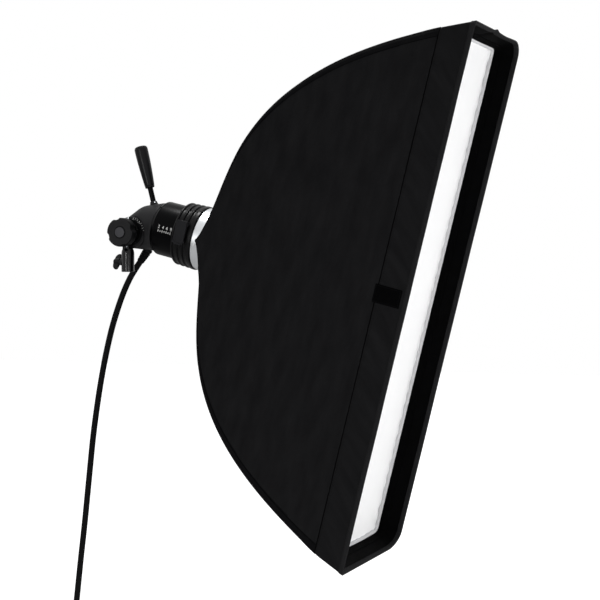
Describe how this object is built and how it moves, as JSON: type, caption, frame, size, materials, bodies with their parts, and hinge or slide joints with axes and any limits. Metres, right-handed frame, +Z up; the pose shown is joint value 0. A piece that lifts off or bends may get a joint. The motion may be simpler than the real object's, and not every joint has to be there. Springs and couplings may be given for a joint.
{
  "type": "studio softbox",
  "caption": "Narrow recessed strip softbox of black fabric on bent rods, clamped by a ring collar to a tilting flash head with pan handle, stand bracket and cable.",
  "frame": {"origin": "middle of the stand socket's mouth, where the bracket sits on a stand's spigot", "axes": "+Z up along the socket, +X the way the softbox points seen from above, +Y away from the clamp knob"},
  "size_m": [0.8229, 0.3065, 1.2535],
  "materials": {
    "black_cast_metal": "satin black powder coat",
    "black_plastic": "fine moulded texture",
    "soft_grip": "soft-touch black",
    "bright_steel": "turned",
    "ring_aluminium": "polished",
    "rod_steel": "drawn",
    "shell_fabric": "black woven nylon, silver inside",
    "binding_tape": "woven edge tape",
    "hook_and_loop": "black loop pile",
    "diffuser_cloth": "white translucent cloth",
    "ceramic": "glazed white ceramic",
    "clear_glass": "clear",
    "lamp_glass": "frosted",
    "cable_rubber": "matte black sheath"
  },
  "bodies": {
    "stand_bracket": {"stand_bracket": "black_cast_metal", "friction_washer": "black_plastic", "thrust_washer": "bright_steel", "cable_run": "cable_rubber", "cable_coil": "cable_rubber", "cable_tie": "hook_and_loop", "plug_relief": "soft_grip", "plug_body": "black_plastic", "plug_pins": "bright_steel"},
    "wing_screw": {"wing_screw": "bright_steel", "wing_grip": "black_plastic"},
    "head": {"tilt_bolt": "bright_steel", "tilt_hub": "black_plastic", "rear_housing": "black_plastic", "barrel": "black_cast_metal", "handle_rod": "black_cast_metal", "handle_grip": "soft_grip", "cable_gland": "soft_grip", "lamp_base": "ceramic", "lamp_socket": "ceramic", "modelling_lamp": "lamp_glass", "flash_tube": "clear_glass", "glass_dome": "clear_glass"},
    "tilt_knob": {"tilt_knob": "black_plastic", "knob_cap": "black_plastic"},
    "clamp_collar": {"clamp_collar": "black_plastic", "latch_pin": "bright_steel"},
    "clamp_latch": {"clamp_latch": "black_plastic"},
    "softbox": {"speed_ring": "ring_aluminium", "rod_sockets": "ring_aluminium", "rod_near_top": "rod_steel", "rod_near_bottom": "rod_steel", "rod_far_top": "rod_steel", "rod_far_bottom": "rod_steel", "rod_tips": "black_plastic", "corner_pockets": "binding_tape", "near_panel": "shell_fabric", "far_panel": "shell_fabric", "top_panel": "shell_fabric", "bottom_panel": "shell_fabric", "front_lip": "shell_fabric", "edge_binding": "binding_tape", "edge_patches": "hook_and_loop", "loop_tape": "hook_and_loop", "front_diffuser": "diffuser_cloth", "diffuser_hem": "diffuser_cloth", "inner_diffuser": "diffuser_cloth", "inner_straps": "binding_tape"}
  },
  "joints": [
    {"name": "head_tilt", "type": "hinge", "parent": "stand_bracket", "child": "head", "pos_m": [0, 0.04515, 0.07], "axis": [0, -1, 0], "range_deg": [-26, 74], "deforming": ["cable_run"]},
    {"name": "knob_turn", "type": "hinge", "parent": "head", "child": "tilt_knob", "pos_m": [0, 0, 0.07], "axis": [0, -1, 0], "range_deg": [0, 270]},
    {"name": "wing_turn", "type": "hinge", "parent": "stand_bracket", "child": "wing_screw", "pos_m": [-0.02, 0, 0.018], "axis": [-1, 0, 0], "range_deg": [0, 270]},
    {"name": "collar_slide", "type": "slide", "parent": "head", "child": "clamp_collar", "axis": [0.9703, 0, -0.2419], "range_m": [-0.03, 0.008]},
    {"name": "latch_swing", "type": "hinge", "parent": "clamp_collar", "child": "clamp_latch", "pos_m": [0.1141, -0.01165, 0.08535], "axis": [-0.9703, 0, 0.2419], "range_deg": [0, 90]},
    {"name": "softbox_turn", "type": "hinge", "parent": "clamp_collar", "child": "softbox", "pos_m": [0.12807, 0.04515, 0.05868], "axis": [0.9703, 0, -0.2419], "continuous": true}
  ]
}
